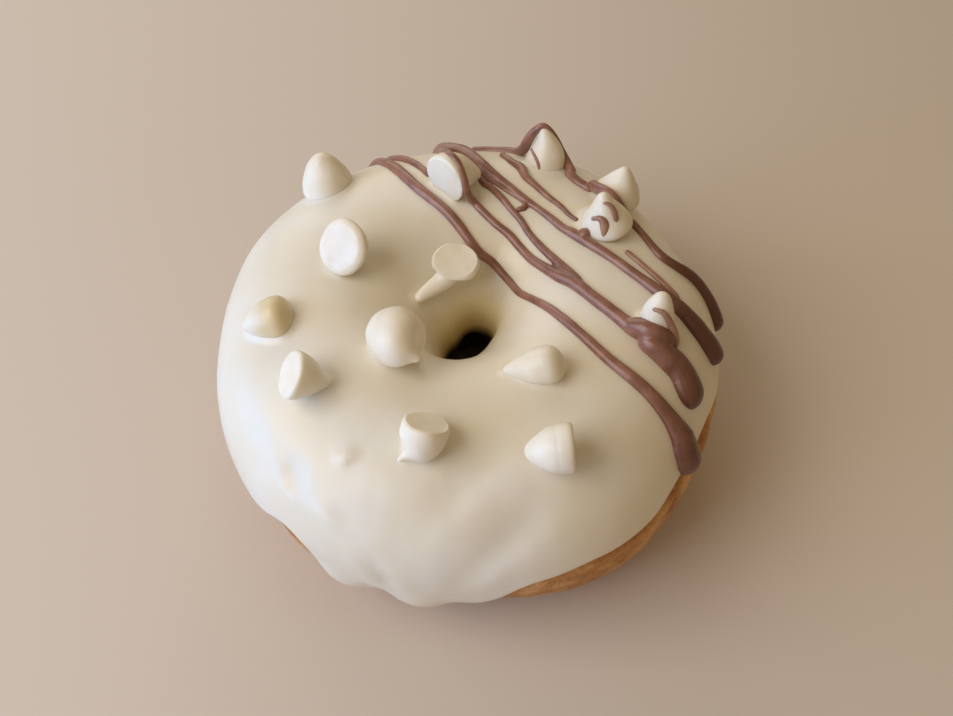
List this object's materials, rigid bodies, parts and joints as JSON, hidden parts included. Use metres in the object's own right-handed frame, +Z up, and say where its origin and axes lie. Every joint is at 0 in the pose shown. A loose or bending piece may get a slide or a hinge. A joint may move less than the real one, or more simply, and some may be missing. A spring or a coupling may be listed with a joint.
{
  "type": "ring doughnut",
  "caption": "Baked ring doughnut with an open middle hole, coated in white icing, topped with white chocolate chips and milk chocolate drizzle; it rests flat on its underside.",
  "frame": {"origin": "middle of the doughnut's box, on the surface that it rests on", "axes": "+Z up through the hole; -Y towards the side that carries the icing's deepest drips; +X towards the drizzled side"},
  "size_m": [0.0936, 0.0946, 0.0464],
  "materials": {
    "dough": "matte golden brown crust",
    "icing": "satin white icing",
    "chips": "satin white chocolate",
    "drizzle": "satin milk chocolate"
  },
  "bodies": {
    "root": {"dough_ring": "dough", "white_icing": "icing", "chip_1": "chips", "chip_2": "chips", "chip_3": "chips", "chip_4": "chips", "chip_5": "chips", "chip_6": "chips", "chip_7": "chips", "chip_8": "chips", "chip_9": "chips", "chip_10": "chips", "chip_11": "chips", "chip_12": "chips", "chip_13": "chips", "chip_14": "chips", "drizzle_inner_strand": "drizzle", "drizzle_rim_twig": "drizzle", "drizzle_forked_web": "drizzle", "drizzle_middle_strand": "drizzle", "drizzle_rim_strand": "drizzle", "drizzle_flank_strand": "drizzle"}
  },
  "joints": []
}
